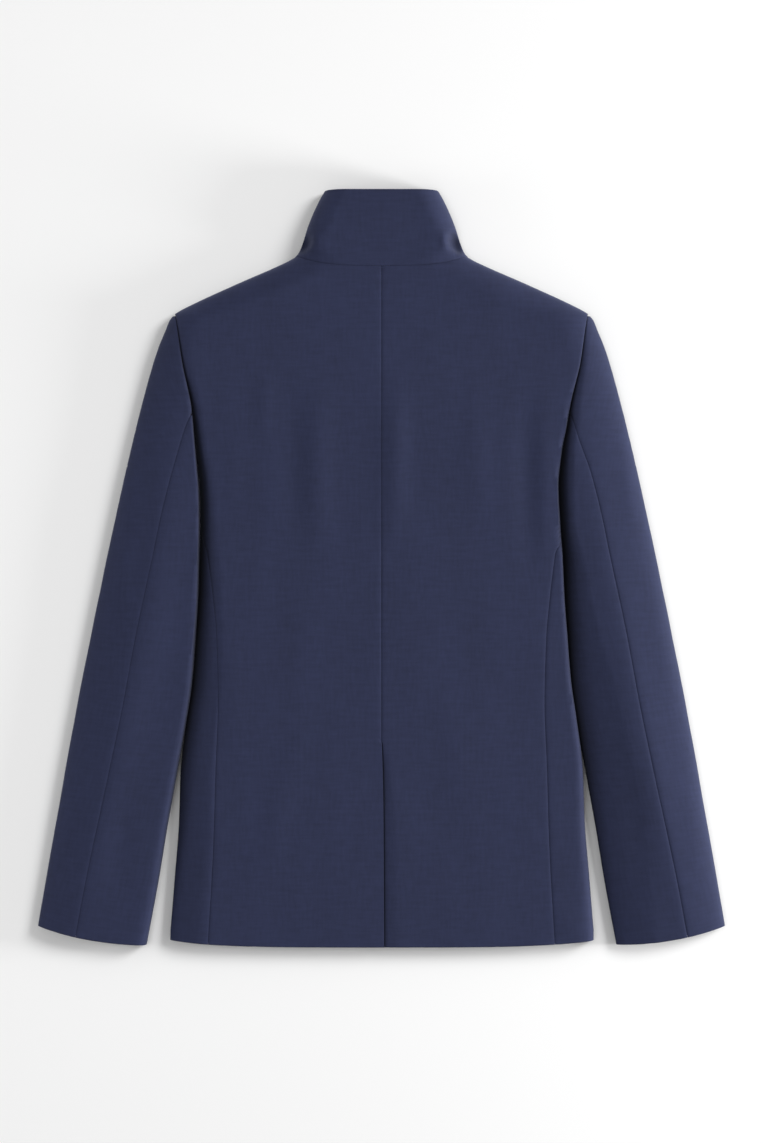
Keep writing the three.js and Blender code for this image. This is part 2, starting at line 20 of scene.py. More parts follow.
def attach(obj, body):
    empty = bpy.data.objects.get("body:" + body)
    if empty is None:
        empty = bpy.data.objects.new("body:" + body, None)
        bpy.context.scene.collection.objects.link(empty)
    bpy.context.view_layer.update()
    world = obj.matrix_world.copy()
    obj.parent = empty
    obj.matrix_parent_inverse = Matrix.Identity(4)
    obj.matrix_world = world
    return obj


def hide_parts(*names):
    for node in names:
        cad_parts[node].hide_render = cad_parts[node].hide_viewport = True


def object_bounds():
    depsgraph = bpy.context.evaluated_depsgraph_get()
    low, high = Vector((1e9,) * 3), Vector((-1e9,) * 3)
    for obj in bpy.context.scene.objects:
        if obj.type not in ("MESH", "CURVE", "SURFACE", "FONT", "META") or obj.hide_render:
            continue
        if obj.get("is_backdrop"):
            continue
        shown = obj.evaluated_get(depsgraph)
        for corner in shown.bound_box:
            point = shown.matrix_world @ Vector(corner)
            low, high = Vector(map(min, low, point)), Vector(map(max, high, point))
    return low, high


bl_info = {
    "name": "Laid Blazer",
    "version": (1, 0, 0),
    "blender": (4, 5, 0),
    "location": "View3D > Sidebar > Blazer",
    "description": "Builds a tailored wool blazer laid face down, with its studio",
    "category": "Add Mesh",
}

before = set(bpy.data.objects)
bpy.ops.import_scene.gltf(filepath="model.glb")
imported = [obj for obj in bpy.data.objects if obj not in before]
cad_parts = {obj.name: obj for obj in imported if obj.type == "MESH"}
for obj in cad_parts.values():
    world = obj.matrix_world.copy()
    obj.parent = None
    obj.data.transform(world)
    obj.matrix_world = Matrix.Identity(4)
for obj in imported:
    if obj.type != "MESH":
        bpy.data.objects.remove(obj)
SIZE_FROM_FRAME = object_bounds()

MM = 0.001
COLLAR_TOP = 372.1
SHOULDER = 250.9  # height of the shoulder point
UNDERARM = 45.0
SEAM_DIVES = 14.0  # height from which the seam beside the side panel dives into the crevice
HEM = -372.1
CUFF = -361.0
WIDEST = 7.0  # height of the widest line above the floor
LOWER_RUN = 9.0
SIDE_FALL = 1.4  # 2 is an ellipse and 1 a straight slope, down into the crevice
CUFF_SLANT = 0.172
CUFF_BOW = 4.2
HEM_LIFT = 6.5
HEM_FADE = 90.0
HEM_HALF = 209.3
WRAP = 25.0  # each front reaches this far past the centre line
WRAP_LIFT, WRAP_STARTS, WRAP_SLOPE = 2.3, 38.0, 10.0
COLLAR_END = 8.0
ELBOW_TOP = 154.0
SLEEVE_TOP = 248.4
FOREARM_TOP = 100.0
ARMS_PART = 80.0  # the under sleeve is one round its edge up to here
VENT_TOP = -169.0
VENT_LAP = 38.0
VENT_DROP = 1.0  # how far the right half sinks beside the folded edge
VENT_FADE = 30.0  # length over which it starts to sink
VENT_REACH = (5.0, 14.0)  # width of the sunk strip at the top and further down
VENT_WIDENS = 110.0
UNDERLAP_DROP = 2.0  # how far the underlap lies below the left half
UNDERLAP_FADE = 6.0
UNDERLAP_SHOWS = 0.8  # its slope shows this far past the folded edge
UNDERLAP_SLOPE = 1.8
# The slanting stitch that holds the top of the vent: place, direction, depth, width, half-length
TACK_X, TACK_Y = 1.6, -167.4
TACK_ACROSS, TACK_ALONG = (0.87, -0.5), (0.5, 0.87)
TACK_DEPTH, TACK_WIDTH, TACK_HALF = 0.25, 0.7, 3.6
FLAP_FROM, FLAP_REACH, FLAP_TOP, FLAP_BOTTOM = 92.0, 197.0, -142.0, -191.0
FLAP_CLOTH = 1.4
BUTTON_HEIGHTS = (-62.0, 28.0)
BUTTON_RADIUS = 10.0
BUTTON_THICK = 2.0

UV_LAYER = "cloth"
EDGE_STEPS = (0.0, 0.4, 0.9, 1.6, 2.6, 4.2)  # columns and rows crowd at a panel's edges
SIDES = (("left", -1), ("right", 1))
ROW_STEP = 3.6
GAP = 0.06  # half the gap between two sewn panels
SEAM_SOFT = 1.2  # reach of the ditch beside a seam
FOLD_RADIUS = 0.9
MOST_DROP = 1.3  # the ditches of crossing seams add up to no more than this
RIPPLE = 0.004
FAR = 1000.0  # distance to an edge that a row doesn't have
RIM_ANGLE = math.radians(48)

# Where the underside gives way: room round a button or flap, room above it, reach of the slope
BUTTON_ROOM, BUTTON_CLEAR, BUTTON_SLOPE = 0.6, 0.2, 7
FLAP_ROOM, FLAP_CLEAR, FLAP_SLOPE = 0.4, 0.3, 5

# y, half-width of the silhouette, how far the upper curve reaches in from it
OUTLINE = (
    (372.1, 55.7, 20), (363.2, 60.9, 21), (339.6, 71.4, 22), (316.0, 79.3, 23),
    (310.0, 82.2, 24), (304.1, 89.7, 25), (298.2, 101.7, 26), (280.5, 142.3, 28),
    (256.9, 193.2, 29), (250.9, 203.9, 30), (245.0, 208.5, 31), (235.2, 212.5, 33),
    (215.5, 220.5, 36), (176.1, 232.2, 40), (117.0, 247.0, 44), (45.0, 263.2, 45),
    (-50.0, 282.7, 45), (-150.0, 302.0, 44), (-250.0, 319.5, 42), (-361.0, 338.6, 38),
)
# y, armhole or side of the body, inner edge of the sleeve, depth between them from 0 to 1
ARM_LINES = (
    (250.9, 203.75, 204.05, 0.03), (246.0, 202.25, 202.55, 0.06), (200.0, 194.8, 194.95, 0.14),
    (157.0, 186.0, 186.15, 0.38), (130.0, 183.6, 183.75, 0.62), (100.0, 180.9, 181.05, 0.88),
    (80.0, 179.3, 179.45, 1), (62.0, 178.8, 178.95, 1), (45.0, 178.7, 178.85, 1),
    (8.6, 179.35, 179.5, 1), (-26.8, 180.4, 180.55, 1), (-68.0, 183.1, 183.25, 1),
    (-110.0, 186.5, 186.7, 1), (-150.0, 192.3, 192.9, 1), (-200.0, 198.4, 202.0, 1),
    (-250.0, 200.2, 211.2, 1), (-300.0, 204.3, 219.6, 1), (-361.0, 208.9, 231.3, 1),
)
# y, how far the flanks of the crevices reach in: a steep one on the left sleeve and on the
# right of the body, facing a sloping one on the left of the body and on the right sleeve
STEEP_RUN = ((250.9, 2), (60, 2.5), (0, 3), (-70, 4.5), (-150, 5.5), (-361, 18))
BODY_SLOPE = ((250, 6), (120, 9), (87, 12), (45, 15), (0, 20), (-70, 27), (-150, 31), (-361, 32))
SLEEVE_SLOPE = (
    (250, 6), (120, 10), (87, 12), (45, 12), (8, 19), (-30, 25), (-70, 33), (-110, 42),
    (-200, 48), (-361, 42),
)
STEEP_FALL = 3.4
# y, how far the right armhole lies further in than the left one
RIGHT_SHIFT = (
    (200, 0), (150, 1.6), (118, 4.8), (92, 5.7), (70, 4.6), (45, 2.9), (8, 1), (-60, 0),
)
SHIFT_REACH = 26.0  # how far to each side of the armhole the shift fades out
# y, height of the upper cloth above the floor
LOFT = (
    (372.1, 25), (340, 27), (306, 26), (251, 24.5), (150, 22), (45, 21), (-100, 20),
    (-250, 19), (-372, 17),
)
# Seams as y, x
BACK_SEAM = (
    (45, 176), (24, 172.8), (-27, 165.6), (-68, 161.8), (-130, 160.2), (-197, 162.6),
    (-265, 164.6), (-372, 170.4),
)
FRONT_SEAM = ((45, 166), (0, 157), (-100, 148), (-200, 151), (-372, 160))
ELBOW_SEAM = (
    (154, 185.8), (149, 187.7), (143, 190.6), (110, 201), (59, 214.5), (8.6, 225), (-62, 240),
    (-140, 254.5), (-200, 267), (-307, 290), (-361, 300.5),
)
FOREARM_SEAM = ((100, 183.4), (60, 193), (0, 207), (-100, 217), (-200, 229), (-361, 260))
# Necklines as x, y
NECK_BACK = (
    (0, 296.7), (36, 297.5), (59.4, 299.9), (71.2, 302.4), (84, 306.2), (100, 307),
)
NECK_FRONT = ((-25, 256), (82.3, 305.4), (87.5, 306.3))

# y, where the vent's folded edge lies past the centre line
VENT_FOLD = ((-169, 0.25), (-185, 0.9), (-235, 2.0), (-372, 2.7))

# Soft folds and hollows of the cloth: from (x, y) to (x, y), half-width, height
Fold = namedtuple("Fold", "x0 y0 x1 y1 wide high")
BACK_FOLDS = (
    Fold(-61, 204, -64, 4, 15, 1.9),
    Fold(-86, 176, -84, 30, 11, -0.8),
    Fold(-113, 204, -116, 120, 8, 0.6),
    Fold(-143, 150, -150, 40, 10, 0.5),
    Fold(15, 204, 13, 10, 12, 1.9),
    Fold(90, 200, 94, 40, 13, 0.6),
    Fold(141, 190, 144, -20, 12, -1.3),
    Fold(159, 188, 161, -12, 9, 0.7),
    Fold(-84, -150, -118, -330, 14, 0.7),
    Fold(60, -110, 96, -300, 18, 0.5),
    Fold(-150, -40, -140, -200, 10, 0.4),
    Fold(176, -330, 196, -372, 12, 0.8),
    Fold(-60, 285, -150, 262, 8, 0.5),
    Fold(62, 288, 146, 266, 9, 0.4),
)
COLLAR_FOLDS = (
    Fold(62.5, 310, 60.5, 333, 3.2, 1.6),
    Fold(-65.5, 310, -63.0, 335, 3.6, 1.5),
    Fold(-62, 316, -59, 342, 5, 0.5),
    Fold(-40, 345, 30, 350, 12, 0.5),
    Fold(-20, 306, 44, 309, 9, -0.4),
)
SLEEVE_FOLDS = (
    Fold(-165, 235, -325, -480, 21, 2.6),
    Fold(165, 235, 325, -480, 21, 2.6),
    Fold(-240, 128, -262, -60, 8, 1.2),
    Fold(-226, 60, -244, -40, 7, -0.5),
    Fold(-292, -150, -316, -300, 12, 0.6),
    Fold(-250, -200, -262, -330, 11, -0.6),
    Fold(238, 150, 250, 30, 8, 0.9),
    Fold(266, 0, 296, -150, 10, 0.7),
    Fold(240, -170, 258, -320, 12, -0.7),
    Fold(300, -200, 318, -330, 9, 0.5),
)
# Low swells of laid cloth: height, width, length and the level at which the noise is cut
SWELLS = ((0.5, 74, 96, 3.1), (0.14, 23, 33, 8.1))
# Hollows where the collar turns up from the neck: centre, half-width, half-length, share sunk
Hollow = namedtuple("Hollow", "x y wide long sunk")
HOLLOWS = (Hollow(-78.0, 320.5, 8.5, 9.5, 0.95), Hollow(75.5, 320.5, 9.0, 10.5, 0.95))
HOLLOW_TURN = 0.34  # they lean with the collar's sides
# Folds of the underside
UNDER_FOLDS = (
    Fold(-70, 180, -66, 20, 12, 0.9),
    Fold(96, 150, 88, -40, 13, 0.8),
    Fold(-120, -30, -96, -130, 10, 0.7),
    Fold(60, -110, 70, -300, 14, 0.8),
    Fold(-58, -220, -66, -350, 12, 0.6),
    Fold(-232, 40, -262, -150, 9, 0.7),
    Fold(240, 60, 262, -90, 10, 0.7),
    Fold(288, -180, 304, -320, 11, 0.6),
    Fold(120, 300, 40, 262, 9, 0.8),
    Fold(-120, 296, -52, 268, 8, 0.7),
)


def clamp(value, low=0.0, high=1.0):
    return min(high, max(low, value))


def mix(start, end, share):
    return start + (end - start) * share


def ease(share):
    share = clamp(share)
    return share * share * (3 - 2 * share)


def curve(table, column=1):
    """Smooth curve through one column of a table, with no overshoot between its rows."""
    rows = sorted((row[0], row[column]) for row in table)
    places = [place for place, _ in rows]
    values = [value for _, value in rows]
    slopes = [
        (values[i + 1] - values[i]) / (places[i + 1] - places[i]) for i in range(len(rows) - 1)
    ]
    tangents = []
    for i in range(len(rows)):
        before = slopes[max(0, i - 1)]
        after = slopes[min(len(slopes) - 1, i)]
        turning = before * after <= 0
        tangents.append(0.0 if turning else 2 * before * after / (before + after))

    @lru_cache(maxsize=None)
    def value_at(place):
        place = clamp(place, places[0], places[-1])
        i = min(len(places) - 2, max(0, bisect_right(places, place) - 1))
        span = places[i + 1] - places[i]
        t = (place - places[i]) / span
        start = values[i] * (1 + 2 * t) * (1 - t) ** 2
        end = values[i + 1] * t ** 2 * (3 - 2 * t)
        return start + end + span * t * (1 - t) * (tangents[i] * (1 - t) - tangents[i + 1] * t)

    return value_at


half_width = curve(OUTLINE, 1)
softness = curve(OUTLINE, 2)
body_side = curve(ARM_LINES, 1)
sleeve_side = curve(ARM_LINES, 2)
side_depth = curve(ARM_LINES, 3)
steep_run = curve(STEEP_RUN)
body_slope = curve(BODY_SLOPE)
sleeve_slope = curve(SLEEVE_SLOPE)
right_shift = curve(RIGHT_SHIFT)
loft = curve(LOFT)
back_seam = curve(BACK_SEAM)
front_seam = curve(FRONT_SEAM)
elbow_seam = curve(ELBOW_SEAM)
forearm_seam = curve(FOREARM_SEAM)
vent_fold = curve(VENT_FOLD)
neck_back = curve(NECK_BACK)
neck_front = curve(NECK_FRONT)

Form = namedtuple("Form", "edge deep run inner fall")
Spot = namedtuple("Spot", "x y z in_x in_z upper")


@lru_cache(maxsize=None)
def lean(y):
    """How much a sloping silhouette stretches a section that is cut straight across."""
    return math.hypot(1, (half_width(y + 3) - half_width(y - 3)) / 6)


@lru_cache(maxsize=None)
def torso_form(y, side):
    if y > SHOULDER:
        return Form(half_width(y), 0.0, body_slope(y), False, SIDE_FALL)
    run, fall = (steep_run(y), STEEP_FALL) if side > 0 else (body_slope(y), SIDE_FALL)
    return Form(body_side(y), side_depth(y), run, False, fall)


@lru_cache(maxsize=None)
def sleeve_form(y, side):
    run, fall = (steep_run(y), STEEP_FALL) if side < 0 else (sleeve_slope(y), SIDE_FALL)
    return Form(sleeve_side(y), side_depth(y), run, True, fall)


def into(x, edge, run):
    """How far into an edge curve a point lies: 0 inside it, 1 at the edge."""
    return clamp(1 - (edge - x) / run)


def rounding(share):
    return math.sqrt(max(0.0, 1 - share * share))


def spot(x, y, form, upper):
    """One point of a skin, with the direction in which the cloth's inner face lies."""
    stretch = lean(y)
    out_run = (softness(y) if upper else LOWER_RUN) * stretch
    in_run = form.run if upper else min(LOWER_RUN, form.run)
    out = into(x, half_width(y), out_run)
    near = into(2 * form.edge - x if form.inner else x, form.edge, in_run)
    fallen = 1 - (1 - near ** form.fall) ** (1 / form.fall)
    full = rounding(out) * (1 - form.deep * fallen)
    z = WIDEST + (loft(y) - WIDEST) * full if upper else WIDEST * (1 - full)
    away = (-1 if form.inner else 1) * near * form.deep
    level = rounding(abs(clamp(out + away, -1, 1)))
    return Spot(x, y, z, -(out * stretch + away), -level if upper else level, upper)


class Path:
    """A line across a skin that is walked by its length.

    The two lines give its y at each x, on the upper and on the lower stretch.
    """

    def __init__(self, form_at, side, over, under):
        self.form_at = form_at
        self.side = side
        self.over = over
        self.under = under
        self.spots = []
        self.lengths = [0.0]
        self.turning = 0

    def spot(self, x, upper):
        y = self.over(x) if upper else self.under(x)
        return spot(x, y, self.form_at(y, self.side), upper)

    def add(self, start, end, count, upper):
        """Spots from start to end, closer together towards the end."""
        for i in range(count + 1):
            share = math.sin(math.pi / 2 * i / count)
            self.append(self.spot(mix(start, end, share), upper))
        return self

    def add_back(self, start, end, count, upper):
        """Spots from end back to start, closer together at the end."""
        for i in range(count, -1, -1):
            share = math.sin(math.pi / 2 * i / count)
            self.append(self.spot(mix(start, end, share), upper))
        return self

    def append(self, place):
        if self.spots:
            last = self.spots[-1]
            step = math.hypot(place.x - last.x, place.z - last.z)
            self.lengths.append(self.lengths[-1] + step)
        self.spots.append(place)

    def turn(self):
        self.turning = len(self.spots)

    @property
    def total(self):
        return self.lengths[-1]

    @property
    def turned(self):
        """Length up to the widest line, where the upper stretch ends."""
        return self.lengths[self.turning - 1]

    def at(self, distance):
        i = clamp(bisect_right(self.lengths, distance), 1, len(self.lengths) - 1)
        span = self.lengths[i] - self.lengths[i - 1]
        share = clamp((distance - self.lengths[i - 1]) / span) if span > 0 else 0.0
        x = mix(self.spots[i - 1].x, self.spots[i].x, share)
        return self.spot(x, self.spots[i].upper)

    def to(self, x, upper=True):
        """Length along the upper or the lower stretch to an x."""
        first, last = (1, self.turning) if upper else (self.turning + 1, len(self.spots))
        for i in range(first, last):
            low, high = sorted((self.spots[i - 1].x, self.spots[i].x))
            if low <= x <= high and high > low:
                share = (x - self.spots[i - 1].x) / (self.spots[i].x - self.spots[i - 1].x)
                return mix(self.lengths[i - 1], self.lengths[i], share)
        return self.turned if upper else self.total


def edge_of(line):
    """The x at which a line reaches the silhouette of the shoulder."""
    low, high = 0.0, 260.0
    for _ in range(40):
        middle = (low + high) / 2
        if torso_form(line(middle), 0).edge > middle:
            low = middle
        else:
            high = middle
    return low


def torso_path(over, under=None, side=0):
    """Half of the torso, from past the back's centre line round to past the front's."""
    edge = edge_of(over)
    y = over(edge)
    form = torso_form(y, side)
    soft = softness(y) * lean(y)
    ridge = min(edge - form.run, half_width(y) - soft)
    flat = edge - LOWER_RUN * (lean(y) if y > SHOULDER else 1)
    path = Path(torso_form, side, over, under or over)
    path.add(-2 * VENT_LAP, ridge, 20, True).add(ridge, edge, 40, True)
    path.turn()
    path.add_back(flat, edge, 16, False).add(flat, -2 * WRAP, 24, False)
    return path


def sleeve_path(y, side):
    """The sleeve at one height: over the top from its inner edge, round, and back beneath."""
    inner = sleeve_side(y)
    outer = half_width(y)
    middle = (inner + outer) / 2
    path = Path(sleeve_form, side, lambda x: y, lambda x: y)
    path.add_back(middle, inner, 30, True).add(middle, outer, 30, True)
    path.turn()
    path.add_back(middle, outer, 20, False).add(middle, inner, 20, False)
    return path


def torso_bend(x, y):
    """The hem rises a little towards the sides."""
    fade = clamp(1 - (y - HEM) / HEM_FADE) ** 2
    return y + HEM_LIFT * fade * min(1, abs(x) / HEM_HALF) ** 4


def sleeve_bend(x, y):
    """Rows of the sleeve turn square to the arm towards the cuff, whose edge is bowed."""
    share = clamp((UNDERARM - y) / (UNDERARM - CUFF))
    half = (half_width(y) - sleeve_side(y)) / 2
    across = x - sleeve_side(y) - half
    bow = CUFF_BOW * share ** 8 * (1 - (across / half) ** 2)
    return y + share * CUFF_SLANT * across - bow


@lru_cache(maxsize=None)
def torso_row(y, side):
    return torso_path(lambda x: y, side=side)


@lru_cache(maxsize=None)
def sleeve_row(y, side):
    return sleeve_path(y, side)


def stations(breaks, step):
    """Every break in order, with even steps between them."""
    heights = [breaks[0]]
    for low, high in zip(breaks, breaks[1:]):
        count = max(1, round((high - low) / step))
        heights += [mix(low, high, k / count) for k in range(1, count + 1)]
    return heights


def crowded(low, high):
    """Heights that start close together at a finished edge."""
    return stations([low + step for step in EDGE_STEPS] + [high], ROW_STEP)


def spread(length, columns):
    """Distances along a row: close together by both edges and even between them."""
    scale = min(1.0, length / (4 * EDGE_STEPS[-1]))
    near = [step * scale for step in EDGE_STEPS]
    inner = columns - 2 * (len(near) - 1)
    middle = [mix(near[-1], length - near[-1], i / inner) for i in range(1, inner)]
    return near + middle + [length - step for step in reversed(near)]


def seam_drop(distance, depth):
    """How far sewing presses the cloth in, next to a seam."""
    return depth * math.exp(-distance / SEAM_SOFT)


def fold_drop(distance):
    """The rounding of a folded and pressed edge."""
    if distance >= FOLD_RADIUS:
        return 0.0
    return FOLD_RADIUS - math.sqrt(FOLD_RADIUS ** 2 - (FOLD_RADIUS - distance) ** 2)


def folds_at(folds, x, y):
    """Height of the soft folds and hollows at a place seen from above."""
    total = 0.0
    for fold in folds:
        run_x = fold.x1 - fold.x0
        run_y = fold.y1 - fold.y0
        length = math.hypot(run_x, run_y)
        along = ((x - fold.x0) * run_x + (y - fold.y0) * run_y) / length ** 2
        if 0 < along < 1:
            off = ((x - fold.x0) * run_y - (y - fold.y0) * run_x) / length
            swell = math.sin(math.pi * along) ** 1.3
            total += fold.high * swell * math.exp(-((off / fold.wide) ** 2))
    return total


def sunk_at(x, y):
    """Share by which the collar's hollows lower the cloth."""
    deepest = 0.0
    for hollow in HOLLOWS:
        turn = math.copysign(HOLLOW_TURN, hollow.x)
        off_x = x - hollow.x
        off_y = y - hollow.y
        across = (off_x * math.cos(turn) + off_y * math.sin(turn)) / hollow.wide
        along = (off_y * math.cos(turn) - off_x * math.sin(turn)) / hollow.long
        spread = (across ** 2 + along ** 2) ** 2
        if spread < 9:
            deepest = max(deepest, hollow.sunk * math.exp(-spread))
    return deepest


def unevenness(x, y):
    """Low swells of laid cloth."""
    return sum(
        high * noise.noise(Vector((x / wide, y / long, level)))
        for high, wide, long, level in SWELLS
    )


def outside(value, low, high):
    return max(low - value, value - high, 0.0)


def pressed_in(x, y):
    """How far the underside gives way over the buttons and the pocket flaps."""
    deepest = 0.0
    for height in BUTTON_HEIGHTS:
        past = math.hypot(x, y - height) - BUTTON_RADIUS - BUTTON_ROOM
        depth = BUTTON_THICK + BUTTON_CLEAR
        deepest = max(deepest, depth * (1 - ease(past / BUTTON_SLOPE)))
    off_x = outside(abs(x), FLAP_FROM, FLAP_REACH)
    past = math.hypot(off_x, outside(y, FLAP_BOTTOM, FLAP_TOP)) - FLAP_ROOM
    return max(deepest, (FLAP_CLOTH + FLAP_CLEAR) * (1 - ease(past / FLAP_SLOPE)))


# A row of a panel: its path, the stretch of it, the distances to the panel's lower and upper
# edge, and how its two ends are finished
Row = namedtuple("Row", "path start end low high first last", defaults=("seam", "seam"))
# How a whole panel is laid
LAY = "side columns bend folds low high lift pressed"
Lay = namedtuple("Lay", LAY, defaults=("seam", "seam", None, True))


def shifted(x, y, side):
    off = clamp(abs(x - body_side(y)) / SHIFT_REACH)
    return x - right_shift(y) * (1 - off ** 2) ** 2 if side > 0 else x


def ripple(x, y):
    """A trace of waviness, since exactly flat cloth gets no thickness from the solidify step."""
    return RIPPLE * (1 + math.sin(1.7 * x) * math.sin(1.3 * y))


def finish_drop(kind, distance, depth):
    if kind == "seam":
        return seam_drop(distance, depth)
    return fold_drop(distance) if kind == "fold" else 0.0


def settled(place, row, along, lay, cloth):
    """Where a point of the cloth's outer face comes to lie, in metres."""
    depth = cloth.seam_depth / MM
    length = row.end - row.start
    drop = finish_drop(row.first, abs(along), depth)
    drop += finish_drop(row.last, abs(length - along), depth)
    drop += finish_drop(lay.low, row.low, depth) + finish_drop(lay.high, row.high, depth)
    drop = min(drop, MOST_DROP)
    x = lay.side * shifted(place.x, place.y, lay.side)
    y = lay.bend(place.x, place.y)
    level = abs(place.in_z)
    if place.upper:
        swell = folds_at(lay.folds, x, y) + unevenness(x, y)
        rise = cloth.fold_strength * swell * level
        rise -= (place.z - WIDEST) * sunk_at(x, y)
    else:
        rise = cloth.fold_strength * max(0.0, folds_at(UNDER_FOLDS, x, y)) * level
        rise += ripple(x, y)
        drop += pressed_in(x, y) if lay.pressed else 0.0
    if lay.lift:
        rise += lay.lift(place, y)
    z = place.z + place.in_z * drop + rise
    return Vector((x + lay.side * place.in_x * drop, y, z)) * MM


def lay_strip(mesh, rows, lay, cloth):
    """Adds one grid of cloth whose vertices lie on the rows' paths."""
    last = len(rows) - 1
    made = bmesh.ops.create_grid(mesh, x_segments=lay.columns, y_segments=last, size=1.0)
    layers = mesh.loops.layers.uv
    measure = layers.get(UV_LAYER) or layers.new(UV_LAYER)
    gaps = [spread(row.end - row.start, lay.columns) for row in rows]
    outward = {}
    marks = {}
    for vert in made["verts"]:
        i = round((vert.co.x + 1) / 2 * lay.columns)
        j = round((vert.co.y + 1) / 2 * last)
        row = rows[j]
        place = row.path.at(row.start + gaps[j][i])
        vert.co = settled(place, row, gaps[j][i], lay, cloth)
        outward[vert] = Vector((-lay.side * place.in_x, 0, -place.in_z))
        marks[vert] = (row.start + gaps[j][i], place.y)
    faces = list({face for vert in made["verts"] for face in vert.link_faces})
    facing = 0.0
    for face in faces:
        face.normal_update()
        facing += sum(face.normal.dot(outward[vert]) for vert in face.verts)
        for loop in face.loops:
            along, up = marks[loop.vert]
            loop[measure].uv = (along * MM, up * MM)
    if facing < 0:
        bmesh.ops.reverse_faces(mesh, faces=faces)


def thicken(mesh, thickness):
    """Gives an open sheet its thickness, inwards, and keeps its rim crisp."""
    bmesh.ops.solidify(mesh, geom=mesh.faces[:], thickness=thickness)
    mesh.normal_update()
    for face in mesh.faces:
        face.smooth = True
    for edge in mesh.edges:
        if edge.is_manifold and edge.calc_face_angle() > RIM_ANGLE:
            edge.smooth = False


def to_object(mesh, name):
    data = bpy.data.meshes.new(name)
    mesh.to_mesh(data)
    mesh.free()
    piece = bpy.data.objects.new(name, data)
    bpy.context.scene.collection.objects.link(piece)
    return piece


def cloth_piece(mesh, name, node, cut, cloth, thickness=0.0):
    thicken(mesh, thickness or cloth.thickness)
    piece = to_object(mesh, name)
    piece.data.materials.append(wool_finish(cloth))
    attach(piece, "root")
    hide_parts(node)
    width, length, area = cut
    return piece


# Faces across each strip of cloth
COLUMNS = {
    "back": 62, "underlap": 20, "side": 34, "front": 58, "top_sleeve": 56,
    "under_sleeve": 30, "under_sleeve_below": 22, "collar": 66, "flap": 34,
}
# Rows of the body, the arms and the fan of rows that runs up to the neck
VENT_ROWS = stations([VENT_TOP - 9, VENT_TOP + 6], 1.0)
BODY_ROWS = crowded(HEM, VENT_TOP - 9)[:-1] + VENT_ROWS
BODY_ROWS += stations([VENT_TOP + 6, UNDERARM - 0.3], ROW_STEP)[1:]
ARMHOLE_ROWS = stations([UNDERARM + 0.3, SLEEVE_TOP], ROW_STEP)
FAN_EDGE = 45.8  # height of the fan at the centre line


def fan_shares():
    close = [1 - step / FAN_EDGE for step in reversed(EDGE_STEPS)]
    return stations([0.0, close[0]], ROW_STEP / FAN_EDGE)[:-1] + close


def fan_path(neckline, share):
    """A row that bends from the shoulder point's height towards the neckline."""
    return torso_path(lambda x: mix(SHOULDER, neckline(x), share))


def vent_dip(place, y):
    """The right half dips under the vent's folded edge."""
    fold = vent_fold(y)
    reach = mix(*VENT_REACH, ease((VENT_TOP - y) / VENT_WIDENS))
    down = VENT_TOP + 1 - y
    beside = VENT_DROP * ease(down / VENT_FADE) * ease((fold + reach - place.x) / reach)
    below = UNDERLAP_DROP * ease(down / UNDERLAP_FADE)
    return -mix(beside, below, ease((fold + UNDERLAP_SHOWS - place.x) / UNDERLAP_SLOPE))


def tack_mark(place, y):
    """The slanting stitch that holds the top of the vent."""
    off_x, off_y = place.x - TACK_X, y - TACK_Y
    off = off_x * TACK_ACROSS[0] + off_y * TACK_ACROSS[1]
    along = off_x * TACK_ALONG[0] + off_y * TACK_ALONG[1]
    return -TACK_DEPTH * math.exp(-(off ** 2) / TACK_WIDTH - (along / TACK_HALF) ** 4)


def back_edge(path, y):
    """Length to the seam beside the side panel, which dives into the crevice at its top."""
    return mix(path.to(back_seam(y)), path.turned, ease((y - SEAM_DIVES) / (UNDERARM - SEAM_DIVES)))


def back_start(y, side):
    """Where a back half starts: the centre seam, and below it the left half's folded edge."""
    if side > 0 or y > VENT_TOP:
        return GAP
    return -vent_fold(y)


def back_rows(side):
    rows = []
    for y in BODY_ROWS + ARMHOLE_ROWS:
        path = torso_row(y, side)
        end = path.turned if y > UNDERARM else back_edge(path, y)
        first = "" if side < 0 and y < VENT_TOP - 2 else "seam"
        rows.append(Row(path, path.to(back_start(y, side)), end - GAP, y - HEM, FAR, first))
    for share in fan_shares():
        path = fan_path(neck_back, share)
        high = (1 - share) * FAN_EDGE
        rows.append(Row(path, path.to(GAP), path.turned - GAP, FAR, high))
    return rows


def underlap_rows(side):
    rows = []
    for y in BODY_ROWS:
        if y < VENT_TOP - 1:
            path = torso_row(y, side)
            rows.append(Row(path, path.to(-VENT_LAP), path.to(GAP), y - HEM, FAR, "fold", ""))
    return rows


def back_panel(side, cloth):
    mesh = bmesh.new()
    lift = vent_dip if side > 0 else tack_mark
    lay = Lay(side, COLUMNS["back"], torso_bend, BACK_FOLDS, "fold", "seam", lift)
    lay_strip(mesh, back_rows(side), lay, cloth)
    if side > 0:
        under = lay._replace(columns=COLUMNS["underlap"])
        lay_strip(mesh, underlap_rows(side), under, cloth)
        bmesh.ops.remove_doubles(mesh, verts=mesh.verts[:], dist=0.00002)
    return mesh


def side_panel(side, cloth):
    rows = []
    for y in BODY_ROWS[:-1] + [UNDERARM - 0.6]:
        path = torso_row(y, side)
        start = back_edge(path, y) + GAP
        end = path.to(front_seam(y) + GAP, False)
        rows.append(Row(path, start, end, y - HEM, UNDERARM - 0.6 - y))
    mesh = bmesh.new()
    lay = Lay(side, COLUMNS["side"], torso_bend, BACK_FOLDS, "fold", "seam")
    lay_strip(mesh, rows, lay, cloth)
    return mesh


def wrap_lift(place, y):
    """The left front lies on the right one, inside the body."""
    return WRAP_LIFT * ease((WRAP_STARTS - place.x) / WRAP_SLOPE)


